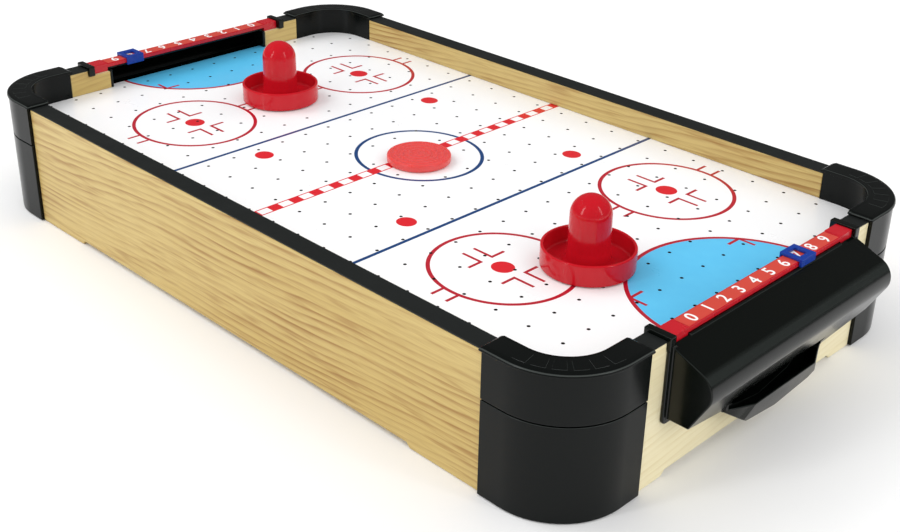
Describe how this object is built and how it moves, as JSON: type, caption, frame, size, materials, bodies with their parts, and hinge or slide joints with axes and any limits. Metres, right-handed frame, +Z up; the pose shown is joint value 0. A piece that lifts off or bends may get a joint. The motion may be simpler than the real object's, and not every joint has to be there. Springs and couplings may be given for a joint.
{
  "type": "tabletop air hockey table",
  "caption": "Tabletop air hockey table with perforated rink, rounded black corners, goal catchers, score rails with sliders, strikers, puck, fan and battery box.",
  "frame": {"origin": "centre of the table's footprint on the surface it stands on", "axes": "+X along the length towards the near goal, +Y across towards the back long side, +Z up"},
  "size_m": [0.5544, 0.3056, 0.1036],
  "materials": {
    "field_laminate": "white laminate, semi-gloss, printed markings",
    "wood_grain_board": "fibreboard with a printed wood-grain foil, satin",
    "edge_trim": "black edge band, satin",
    "corner_plastic": "moulded black plastic, satin",
    "pad_rubber": "soft dark rubber",
    "catcher_plastic": "vacuum-formed black plastic, glossy",
    "rail_plastic": "red plastic, semi-gloss",
    "slider_plastic": "blue plastic, semi-gloss",
    "hardboard": "brown hardboard",
    "housing_plastic": "moulded black plastic, fine texture",
    "motor_steel": "zinc-plated can",
    "shaft_steel": "ground steel",
    "impeller_plastic": "natural white plastic",
    "cell_wrap": "printed sleeve on a steel can",
    "contact_metal": "nickel-plated spring steel",
    "rocker_plastic": "red plastic",
    "terminal_brass": "tinned brass",
    "wire_red": "PVC insulation",
    "wire_black": "PVC insulation",
    "screw_steel": "zinc-plated",
    "mallet_plastic": "red plastic, glossy",
    "felt": "pressed felt",
    "puck_plastic": "translucent red plastic"
  },
  "bodies": {
    "table": {"playfield": "field_laminate", "front_panel": "wood_grain_board", "back_panel": "wood_grain_board", "near_end_panel": "wood_grain_board", "far_end_panel": "wood_grain_board", "near_cross_batten": "wood_grain_board", "far_cross_batten": "wood_grain_board", "front_trim": "edge_trim", "back_trim": "edge_trim", "near_end_trim": "edge_trim", "far_end_trim": "edge_trim", "corner_cap_front_near": "corner_plastic", "corner_cap_back_near": "corner_plastic", "corner_cap_front_far": "corner_plastic", "corner_cap_back_far": "corner_plastic", "corner_base_front_near": "corner_plastic", "corner_base_back_near": "corner_plastic", "corner_base_front_far": "corner_plastic", "corner_base_back_far": "corner_plastic", "foot_pad_front_near": "pad_rubber", "foot_pad_back_near": "pad_rubber", "foot_pad_front_far": "pad_rubber", "foot_pad_back_far": "pad_rubber", "near_goal_catcher": "catcher_plastic", "far_goal_catcher": "catcher_plastic", "near_score_rail": "rail_plastic", "far_score_rail": "rail_plastic", "bottom_board": "hardboard", "fan_housing": "housing_plastic", "intake_grille": "housing_plastic", "battery_box": "housing_plastic", "switch_body": "housing_plastic", "fan_motor": "motor_steel", "battery_cell_1": "cell_wrap", "battery_cell_2": "cell_wrap", "battery_cell_3": "cell_wrap", "battery_cell_4": "cell_wrap", "contact_plates": "contact_metal", "contact_springs": "contact_metal", "switch_terminals": "terminal_brass", "wire_battery_switch": "wire_red", "wire_switch_motor": "wire_red", "wire_battery_motor": "wire_black", "corner_screws": "screw_steel", "cap_screws": "screw_steel", "fan_screws": "screw_steel", "grille_screws": "screw_steel", "box_screws": "screw_steel"},
    "near_scorer": {"near_score_slider": "slider_plastic"},
    "far_scorer": {"far_score_slider": "slider_plastic"},
    "fan_rotor": {"fan_impeller": "impeller_plastic", "fan_shaft": "shaft_steel"},
    "door": {"battery_door": "housing_plastic"},
    "rocker": {"switch_rocker": "rocker_plastic"},
    "near_striker": {"near_mallet": "mallet_plastic", "near_mallet_felt": "felt"},
    "far_striker": {"far_mallet": "mallet_plastic", "far_mallet_felt": "felt"},
    "puck_disc": {"puck": "puck_plastic"}
  },
  "joints": [
    {"name": "near_score_slide", "type": "slide", "parent": "table", "child": "near_scorer", "axis": [0, 1, 0], "range_m": [-0.0924, 0.0264]},
    {"name": "far_score_slide", "type": "slide", "parent": "table", "child": "far_scorer", "axis": [0, 1, 0], "range_m": [-0.0132, 0.1056]},
    {"name": "fan_spin", "type": "hinge", "parent": "table", "child": "fan_rotor", "pos_m": [0, 0, 0.02], "axis": [0, 0, 1], "continuous": true},
    {"name": "battery_door_slide", "type": "slide", "parent": "table", "child": "door", "axis": [1, 0, 0], "range_m": [0, 0.045]},
    {"name": "power_rocker", "type": "hinge", "parent": "table", "child": "rocker", "pos_m": [0.12, 0.1435, 0.022], "axis": [0, 0, 1], "range_deg": [0, 16]},
    {"name": "near_striker_slide", "type": "slide", "parent": "table", "child": "near_striker", "axis": [0, 1, 0], "range_m": [-0.082, 0.14]},
    {"name": "far_striker_slide", "type": "slide", "parent": "table", "child": "far_striker", "axis": [0, 1, 0], "range_m": [-0.117, 0.105]},
    {"name": "puck_slide", "type": "slide", "parent": "table", "child": "puck_disc", "axis": [1, 0, 0], "range_m": [-0.095, 0.11]}
  ]
}
